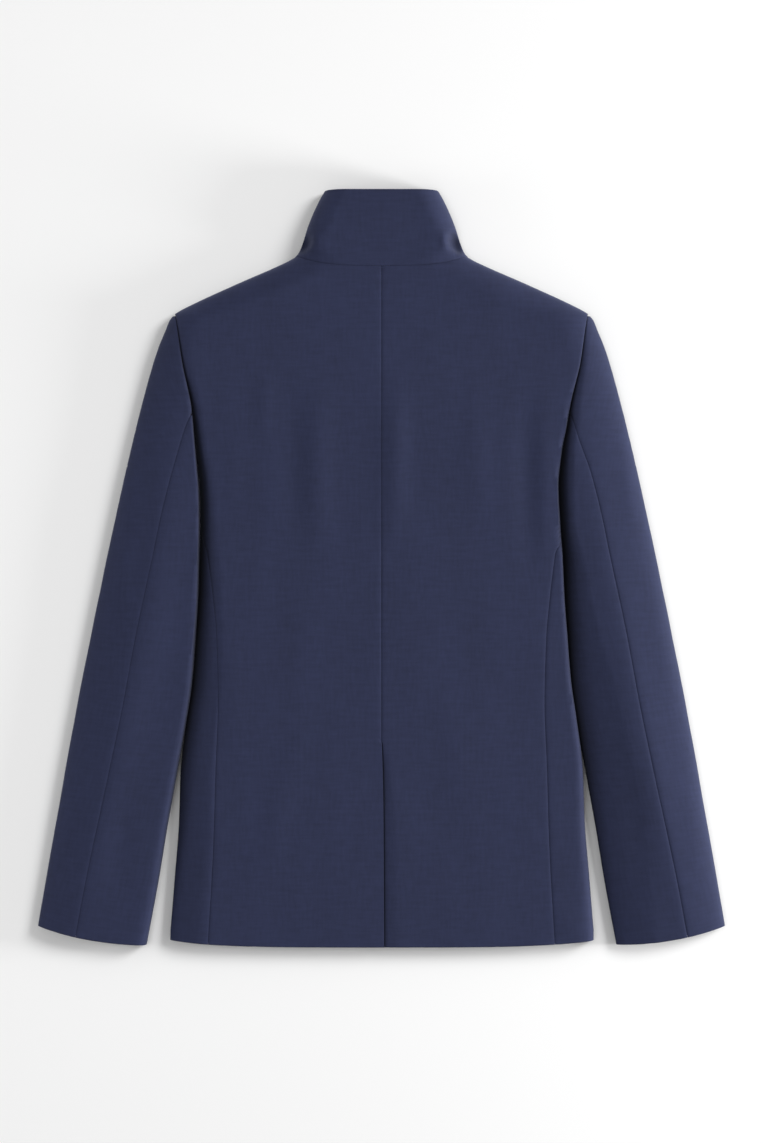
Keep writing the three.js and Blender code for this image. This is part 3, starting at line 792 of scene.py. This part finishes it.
def front_panel(side, cloth):
    rows = []
    for y in BODY_ROWS[::2] + [BODY_ROWS[-1]] + ARMHOLE_ROWS:
        path = torso_row(y, side)
        start = path.turned + GAP if y > UNDERARM else path.to(front_seam(y) - GAP, False)
        rows.append(Row(path, start, path.to(-WRAP, False), y - HEM, FAR, "seam", "fold"))
    for share in fan_shares():
        path = fan_path(neck_front, share)
        high = (1 - share) * FAN_EDGE
        end = path.to(-WRAP, False)
        rows.append(Row(path, path.turned + GAP, end, FAR, high, "seam", "fold"))
    lift = wrap_lift if side < 0 else None
    mesh = bmesh.new()
    lay = Lay(side, COLUMNS["front"], torso_bend, (), "fold", "seam", lift)
    lay_strip(mesh, rows, lay, cloth)
    return mesh


SLEEVE_ROWS = crowded(CUFF, UNDERARM) + stations([UNDERARM, SLEEVE_TOP], ROW_STEP)[1:]


def top_sleeve(side, cloth):
    rows = []
    for y in SLEEVE_ROWS:
        path = sleeve_row(y, side)
        start = path.to(elbow_seam(y) + GAP) if y < ELBOW_TOP else 0.0
        end = path.to(forearm_seam(y) + GAP, False) if y < FOREARM_TOP else path.total
        rows.append(Row(path, start, end, y - CUFF, SLEEVE_TOP - y))
    mesh = bmesh.new()
    lay = Lay(side, COLUMNS["top_sleeve"], sleeve_bend, SLEEVE_FOLDS, "fold", "seam")
    lay_strip(mesh, rows, lay, cloth)
    return mesh


def under_sleeve(side, cloth):
    """From the elbow seam to the inner edge and from there to the forearm seam."""
    over = []
    below = []
    for y in SLEEVE_ROWS:
        path = sleeve_row(y, side)
        parted = "seam" if y > ARMS_PART else ""
        if y < ELBOW_TOP:
            seam = path.to(elbow_seam(y) - GAP)
            over.append(Row(path, 0.0, seam, y - CUFF, ELBOW_TOP - y, parted))
        if y < FOREARM_TOP:
            seam = path.to(forearm_seam(y) - GAP, False)
            below.append(Row(path, seam, path.total, y - CUFF, FOREARM_TOP - y, "seam", parted))
    mesh = bmesh.new()
    lay = Lay(side, COLUMNS["under_sleeve"], sleeve_bend, SLEEVE_FOLDS, "fold", "seam")
    lay_strip(mesh, over, lay, cloth)
    lay_strip(mesh, below, lay._replace(columns=COLUMNS["under_sleeve_below"]), cloth)
    bmesh.ops.remove_doubles(mesh, verts=mesh.verts[:], dist=0.00003)
    return mesh


COLLAR_HIGH = 75.0


def collar_path(share):
    """A row round the collar, part of the way up from the neckline to the top edge."""
    return torso_path(
        lambda x: mix(neck_back(x) + 2 * GAP, COLLAR_TOP, share),
        lambda x: mix(neck_front(x) + 0.8, COLLAR_TOP, share),
    )


def collar_panel(cloth):
    near = [step / COLLAR_HIGH for step in EDGE_STEPS]
    shares = near + stations([near[-1], 1 - near[-1]], 2.6 / COLLAR_HIGH)[1:-1]
    shares += [1 - share for share in reversed(near)]
    rows = []
    for share in shares:
        path = collar_path(share)
        low = share * COLLAR_HIGH
        end = path.to(COLLAR_END, False)
        rows.append(Row(path, path.to(0), end, low, COLLAR_HIGH - low, "", "fold"))
    mesh = bmesh.new()
    for _, side in SIDES:
        lay = Lay(side, COLUMNS["collar"], torso_bend, COLLAR_FOLDS, "seam", "fold")
        lay_strip(mesh, rows, lay, cloth)
    bmesh.ops.remove_doubles(mesh, verts=mesh.verts[:], dist=0.00003)
    return mesh


def flap_panel(side, cloth):
    """The pocket flap, which lies under the front and turns up with the body's edge."""
    near = list(EDGE_STEPS)
    high = FLAP_TOP - FLAP_BOTTOM
    heights = near + stations([near[-1], high - near[-1]], 4)[1:-1]
    heights += [high - step for step in reversed(near)]
    rows = []
    for height in heights:
        path = torso_row(FLAP_BOTTOM + height, side)
        start = path.turned + 0.8
        end = path.to(FLAP_FROM, False)
        rows.append(Row(path, start, end, height, high - height, "fold", "fold"))
    mesh = bmesh.new()
    lay = Lay(side, COLUMNS["flap"], torso_bend, (), "fold", "fold", None, False)
    lay_strip(mesh, rows, lay, cloth)
    return mesh


def lathe(profile, centre, steps):
    """A turned solid round an upright axis; the profile runs from axis to axis."""
    mesh = bmesh.new()
    verts = [mesh.verts.new(Vector((radius, 0, height)) * MM) for radius, height in profile]
    edges = [mesh.edges.new(pair) for pair in zip(verts, verts[1:])]
    bmesh.ops.spin(
        mesh, geom=verts + edges, cent=(0, 0, 0), axis=(0, 0, 1), angle=math.tau,
        steps=steps, use_merge=True, use_duplicate=False,
    )
    bmesh.ops.remove_doubles(mesh, verts=mesh.verts[:], dist=0.00001)
    bmesh.ops.recalc_face_normals(mesh, faces=mesh.faces[:])
    bmesh.ops.translate(mesh, verts=mesh.verts[:], vec=centre)
    return mesh


BUTTON_PROFILE = (
    (0, 0.75), (5.2, 0.75), (6.2, 0.6), (7.0, 0.12), (7.8, 0.0), (8.8, 0.06), (9.6, 0.35),
    (10.0, 0.9), (9.9, 1.4), (9.3, 1.8), (8.2, 2.0), (0, 2.0),
)


class Signal:
    """A shader socket that Python's own operators work on."""

    def __init__(self, finish, socket):
        self.finish = finish
        self.socket = socket

    def _with(self, operation, first, second=0.0):
        inputs = {0: first, 1: second}
        return self.finish.node("ShaderNodeMath", {"operation": operation}, inputs)

    def __add__(self, other):
        return self._with("ADD", self, other)

    __radd__ = __add__

    def __mul__(self, other):
        return self._with("MULTIPLY", self, other)

    __rmul__ = __mul__

    def __sub__(self, other):
        return self._with("SUBTRACT", self, other)

    def __rsub__(self, other):
        return self._with("SUBTRACT", other, self)

    def sine(self):
        return self._with("SINE", self)

    def power(self, exponent):
        return self._with("POWER", self, exponent)


class Finish:
    """A material with its shader, and the one way in which its nodes are made."""

    def __init__(self, name, colour, roughness, **constants):
        self.material = bpy.data.materials.new(name)
        self.material.use_nodes = True
        self.tree = self.material.node_tree
        self.shader = self.tree.nodes["Principled BSDF"]
        self.shader.inputs["Base Color"].default_value = (*colour, 1)
        self.shader.inputs["Roughness"].default_value = roughness
        for socket, value in constants.items():
            self.shader.inputs[socket.replace("_", " ")].default_value = value

    def node(self, kind, settings, inputs, output=0):
        made = self.tree.nodes.new(kind)
        for key, value in settings.items():
            setattr(made, key, value)
        for key, value in inputs.items():
            if isinstance(value, Signal):
                self.tree.links.new(value.socket, made.inputs[key])
            else:
                made.inputs[key].default_value = value
        return Signal(self, made.outputs[output])

    def feed(self, socket, signal):
        self.tree.links.new(signal.socket, self.shader.inputs[socket])

    def measured(self, layer):
        """Metres along and up the cloth, from the piece's own UV map."""
        place = self.node("ShaderNodeUVMap", {"uv_map": layer}, {})
        parts = self.tree.nodes.new("ShaderNodeSeparateXYZ")
        self.tree.links.new(place.socket, parts.inputs[0])
        return place, Signal(self, parts.outputs[0]), Signal(self, parts.outputs[1])

    def openness(self, reach):
        """How open a place lies, from 0 in a deep fold to 1, for the shade painted into the wool's
        colour.
        """
        inputs = {"Distance": reach}
        return self.node("ShaderNodeAmbientOcclusion", {"samples": 8}, inputs, output=1)

    def streaks(self, place, across, along, detail):
        """Noise drawn out along the cloth, from 0 to 1."""
        settings = {"vector_type": "POINT"}
        inputs = {"Vector": place, "Scale": (1 / across, 1 / along, 1)}
        drawn = self.node("ShaderNodeMapping", settings, inputs)
        spots = {"Vector": drawn, "Scale": 1.0, "Detail": detail, "Roughness": 0.55}
        return self.node("ShaderNodeTexNoise", {"noise_dimensions": "2D"}, spots)


THREAD_PITCH = 0.0011  # two threads of the weave
PAINTED_SHADE_REACH = 0.022  # how far the walls of a fold reach for the shade painted into the wool's colour
PAINTED_SHADE_STRENGTH = 1.9  # how strongly the painted shade darkens the wool's colour there


def wool_finish(cloth):
    """Fine worsted in navy: small thread relief, faint lengthwise streaks, a soft nap, and shade
    painted into its colour in folds and crevices.
    """
    found = bpy.data.materials.get("navy_worsted")
    if found:
        return found
    finish = Finish(
        "navy_worsted", cloth.colour, cloth.roughness, Sheen_Weight=cloth.nap,
        Sheen_Roughness=0.45, Specular_IOR_Level=0.22,
    )
    finish.shader.inputs["Sheen Tint"].default_value = (0.62, 0.68, 1.0, 1)
    place, along, up = finish.measured(UV_LAYER)
    turn = math.tau / THREAD_PITCH
    twill = ((along + up * 0.9) * turn).sine() * 0.5 + 0.5
    threads = (along * (2 * turn)).sine() * 0.5 + 0.5
    slubs = finish.streaks(place, 0.0030, 0.016, 2.0)
    picks = finish.streaks(place, 0.022, 0.0032, 2.0)
    broad = finish.streaks(place, 0.035, 0.16, 3.0)
    tone = slubs * 0.30 + picks * 0.34 + broad * 0.26 + twill * 0.10
    dark = [channel * (1 - cloth.mottle) for channel in cloth.colour]
    light = [channel * (1 + cloth.mottle) for channel in cloth.colour]
    mixed = finish.node(
        "ShaderNodeMix", {"data_type": "RGBA"},
        {0: tone, 6: (*dark, 1), 7: (*light, 1)}, output=2,
    )
    # Painted shade: the colour is darkened where folds, crevices and neighbouring parts hide a
    # place from the light.
    open_share = finish.openness(PAINTED_SHADE_REACH)
    painted_shade_colour = finish.node(
        "ShaderNodeVectorMath", {"operation": "SCALE"},
        {0: mixed, "Scale": open_share.power(PAINTED_SHADE_STRENGTH)},
    )
    finish.feed("Base Color", painted_shade_colour)
    relief = twill * 0.45 + threads * 0.25 + slubs * 0.7 + picks * 0.7
    bump = {"Height": relief, "Strength": cloth.weave, "Distance": 0.00012}
    finish.feed("Normal", finish.node("ShaderNodeBump", {}, bump))
    return finish.material


def button_finish(colour):
    """Dark horn-like resin with slow cloudy bands."""
    finish = Finish("dark_resin", colour, 0.34, Coat_Weight=0.25, Coat_Roughness=0.2)
    place = finish.node("ShaderNodeTexCoord", {}, {}, output=3)
    clouds = finish.streaks(place, 0.006, 0.0025, 3.0)
    light = [channel * 2.1 for channel in colour]
    mixed = finish.node(
        "ShaderNodeMix", {"data_type": "RGBA"},
        {0: clouds, 6: (*colour, 1), 7: (*light, 1)}, output=2,
    )
    finish.feed("Base Color", mixed)
    return finish.material


class BlazerCloth(bpy.types.PropertyGroup):
    thickness: FloatProperty(
        name="Thickness", description="Shell and canvas together", default=0.0017,
        min=0.0008, max=0.0022, unit="LENGTH", precision=4,
    )
    seam_depth: FloatProperty(
        name="Seam Depth", description="How far sewing presses the cloth in", default=0.0005,
        min=0, max=0.0011, unit="LENGTH", precision=4,
    )
    fold_strength: FloatProperty(
        name="Folds", description="Height of the soft folds, 1 as laid out", default=1.0,
        min=0, max=2, subtype="FACTOR",
    )
    colour: FloatVectorProperty(
        name="Colour", description="Mean colour of the wool", subtype="COLOR",
        default=(0.0194, 0.0245, 0.0622), min=0, max=1,
    )
    mottle: FloatProperty(
        name="Mottle", description="Spread of the wool's tone", default=0.42,
        min=0, max=1, subtype="FACTOR",
    )
    roughness: FloatProperty(
        name="Roughness", description="Roughness of the wool", default=0.82,
        min=0, max=1, subtype="FACTOR",
    )
    nap: FloatProperty(
        name="Nap", description="Strength of the soft sheen", default=0.18,
        min=0, max=1, subtype="FACTOR",
    )
    weave: FloatProperty(
        name="Weave", description="Strength of the thread relief", default=0.35,
        min=0, max=1, subtype="FACTOR",
    )


class BlazerButtons(bpy.types.PropertyGroup):
    colour: FloatVectorProperty(
        name="Colour", description="Colour of the resin", subtype="COLOR",
        default=(0.014, 0.015, 0.024), min=0, max=1,
    )


class BlazerStudio(bpy.types.PropertyGroup):
    fill: FloatProperty(
        name="Fill", description="Strength of the even light all round", default=0.34,
        min=0, max=5,
    )
    key: FloatProperty(
        name="Key", description="Power of the large soft light at the right", default=590.0,
        min=0, max=3000, unit="POWER",
    )
    overhead: FloatProperty(
        name="Overhead", description="Power of the broad light above", default=30.0,
        min=0, max=900, unit="POWER",
    )
    side: FloatProperty(
        name="Side", description="Power of the low soft light at the right", default=50.0,
        min=0, max=300, unit="POWER",
    )
    bounce: FloatProperty(
        name="Bounce", description="Power of the faint low light at the left", default=16.0,
        min=0, max=300, unit="POWER",
    )
    floor: FloatVectorProperty(
        name="Floor", description="Colour of the floor", subtype="COLOR",
        default=(0.93, 0.93, 0.93), min=0, max=1,
    )
    lens: FloatProperty(
        name="Lens", description="Focal length of the camera", default=100.0,
        min=20, max=300, unit="CAMERA",
    )


# Flat width, length and area of each cut, in metres
CUTS = {
    "back": (0.250, 0.690, 0.1210),
    "side": (0.090, 0.418, 0.0291),
    "front": (0.235, 0.680, 0.1267),
    "top_sleeve": (0.150, 0.622, 0.0714),
    "under_sleeve": (0.100, 0.527, 0.0436),
    "collar": (0.350, 0.115, 0.0231),
    "flap": (0.108, 0.049, 0.0052),
}


class BLAZER_OT_back(bpy.types.Operator):
    """Lays the two halves of the back, with the centre seam and the vent"""

    bl_idname = "blazer.back"
    bl_label = "Back"

    def execute(self, context):
        cloth = context.scene.blazer_cloth
        for word, side in SIDES:
            mesh = back_panel(side, cloth)
            cloth_piece(mesh, f"back_cloth_{word}", f"back_{word}", CUTS["back"], cloth)
        return {"FINISHED"}


class BLAZER_OT_sides(bpy.types.Operator):
    """Lays the two side panels round the edges of the body"""

    bl_idname = "blazer.sides"
    bl_label = "Side Panels"

    def execute(self, context):
        cloth = context.scene.blazer_cloth
        for word, side in SIDES:
            mesh = side_panel(side, cloth)
            cloth_piece(mesh, f"side_cloth_{word}", f"side_{word}", CUTS["side"], cloth)
        return {"FINISHED"}


class BLAZER_OT_fronts(bpy.types.Operator):
    """Lays the two fronts on the floor, the left one over the right one"""

    bl_idname = "blazer.fronts"
    bl_label = "Fronts"

    def execute(self, context):
        cloth = context.scene.blazer_cloth
        for word, side in SIDES:
            mesh = front_panel(side, cloth)
            name = f"front_cloth_{word}"
            cloth_piece(mesh, name, f"front_{word}", CUTS["front"], cloth)
        return {"FINISHED"}


class BLAZER_OT_sleeves(bpy.types.Operator):
    """Lays the two-piece sleeves beside the body"""

    bl_idname = "blazer.sleeves"
    bl_label = "Sleeves"

    def execute(self, context):
        cloth = context.scene.blazer_cloth
        for word, side in SIDES:
            for part, make in (("top_sleeve", top_sleeve), ("under_sleeve", under_sleeve)):
                name = f"{part}_cloth_{word}"
                cloth_piece(make(side, cloth), name, f"{part}_{word}", CUTS[part], cloth)
        return {"FINISHED"}


class BLAZER_OT_collar(bpy.types.Operator):
    """Stands the collar up and lays it flat with the neck"""

    bl_idname = "blazer.collar"
    bl_label = "Collar"

    def execute(self, context):
        cloth = context.scene.blazer_cloth
        mesh = collar_panel(cloth)
        cloth_piece(mesh, "collar_cloth", "collar", CUTS["collar"], cloth)
        return {"FINISHED"}


class BLAZER_OT_flaps(bpy.types.Operator):
    """Lays the pocket flaps under the fronts"""

    bl_idname = "blazer.flaps"
    bl_label = "Pocket Flaps"

    def execute(self, context):
        cloth = context.scene.blazer_cloth
        for word, side in SIDES:
            name = f"flap_cloth_{word}"
            node = f"pocket_flap_{word}"
            mesh = flap_panel(side, cloth)
            cut = CUTS["flap"]
            cloth_piece(mesh, name, node, cut, cloth, FLAP_CLOTH * MM)
        return {"FINISHED"}


class BLAZER_OT_buttons(bpy.types.Operator):
    """Sews the two resin buttons to the front"""

    bl_idname = "blazer.buttons"
    bl_label = "Buttons"

    def execute(self, context):
        finish = button_finish(context.scene.blazer_buttons.colour)
        for i, height in enumerate(BUTTON_HEIGHTS, start=1):
            mesh = lathe(BUTTON_PROFILE, Vector((0, height * MM, 0)), 48)
            for face in mesh.faces:
                face.smooth = True
            piece = to_object(mesh, f"button_resin_{i}")
            piece.data.materials.append(finish)
            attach(piece, "root")
            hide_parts(f"button_{i}")
        return {"FINISHED"}


FRAME_LONG = 1.1259  # height of the picture at the garment, in metres
SENSOR = 36.0
FRAME_SHIFT = -0.0027
FLOOR_HALF = 6.0
FLOOR_LEVEL = -0.0002  # just under the cloth
# Each lamp by the name of its power, its place and its diameter
LAMPS = (
    ("key", (7.0, 4.2, 5.4), 3.8), ("overhead", (-1.2, 0.1, 4.2), 2.2),
    ("side", (2.0, -0.2, 0.33), 0.5), ("bounce", (-2.6, -0.1, 0.5), 0.9),
)


def area_light(name, place, size, power):
    data = bpy.data.lights.new(name, "AREA")
    data.shape = "DISK"
    data.size = size
    data.energy = power
    lamp = bpy.data.objects.new(name, data)
    lamp.location = place
    lamp.rotation_euler = (-Vector(place)).to_track_quat("-Z", "Y").to_euler()
    bpy.context.scene.collection.objects.link(lamp)


class BLAZER_OT_studio(bpy.types.Operator):
    """Sets up the pale floor, the soft light and the camera straight above"""

    bl_idname = "blazer.studio"
    bl_label = "Studio"

    def execute(self, context):
        scene = context.scene
        studio = scene.blazer_studio
        mesh = bmesh.new()
        bmesh.ops.create_grid(mesh, x_segments=1, y_segments=1, size=FLOOR_HALF)
        bmesh.ops.translate(mesh, verts=mesh.verts[:], vec=(0, 0, FLOOR_LEVEL))
        ground = to_object(mesh, "floor")
        ground.data.materials.append(Finish("pale_floor", studio.floor, 0.9).material)
        ground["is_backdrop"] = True
        for name, place, size in LAMPS:
            area_light(name, place, size, getattr(studio, name))
        world = scene.world or bpy.data.worlds.new("studio")
        scene.world = world
        world.use_nodes = True
        back = world.node_tree.nodes["Background"]
        back.inputs["Color"].default_value = (1, 1, 1, 1)
        back.inputs["Strength"].default_value = studio.fill
        data = bpy.data.cameras.new("camera")
        data.lens = studio.lens
        data.sensor_width = SENSOR
        camera = bpy.data.objects.new("camera", data)
        above = WIDEST * MM + FRAME_LONG * studio.lens / SENSOR
        camera.location = (0, FRAME_SHIFT, above)
        scene.collection.objects.link(camera)
        scene.camera = camera
        scene.view_settings.view_transform = "Standard"
        return {"FINISHED"}


class BLAZER_PT_build(bpy.types.Panel):
    """Lists the blazer's operators and their sizes"""

    bl_label = "Blazer"
    bl_space_type = "VIEW_3D"
    bl_region_type = "UI"
    bl_category = "Blazer"

    def draw(self, context):
        for operator in OPERATORS:
            self.layout.operator(operator.bl_idname)
        for group in (
            context.scene.blazer_cloth, context.scene.blazer_buttons,
            context.scene.blazer_studio,
        ):
            for name in group.__annotations__:
                self.layout.prop(group, name)


OPERATORS = (
    BLAZER_OT_fronts, BLAZER_OT_sides, BLAZER_OT_back, BLAZER_OT_sleeves, BLAZER_OT_collar,
    BLAZER_OT_flaps, BLAZER_OT_buttons, BLAZER_OT_studio,
)
CLASSES = (BlazerCloth, BlazerButtons, BlazerStudio, *OPERATORS, BLAZER_PT_build)


def register():
    for kind in CLASSES:
        bpy.utils.register_class(kind)
    bpy.types.Scene.blazer_cloth = PointerProperty(type=BlazerCloth)
    bpy.types.Scene.blazer_buttons = PointerProperty(type=BlazerButtons)
    bpy.types.Scene.blazer_studio = PointerProperty(type=BlazerStudio)


def unregister():
    del bpy.types.Scene.blazer_studio
    del bpy.types.Scene.blazer_buttons
    del bpy.types.Scene.blazer_cloth
    for kind in reversed(CLASSES):
        bpy.utils.unregister_class(kind)


def main():
    register()
    bpy.ops.blazer.fronts()
    bpy.ops.blazer.sides()
    bpy.ops.blazer.back()
    bpy.ops.blazer.sleeves()
    bpy.ops.blazer.collar()
    bpy.ops.blazer.flaps()
    bpy.ops.blazer.buttons()
    bpy.ops.blazer.studio()
    sizes = {"frame": SIZE_FROM_FRAME, "scene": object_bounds()}
    {key: [list(corner) for corner in pair] for key, pair in sizes.items()}


if __name__ == "__main__":
    main()
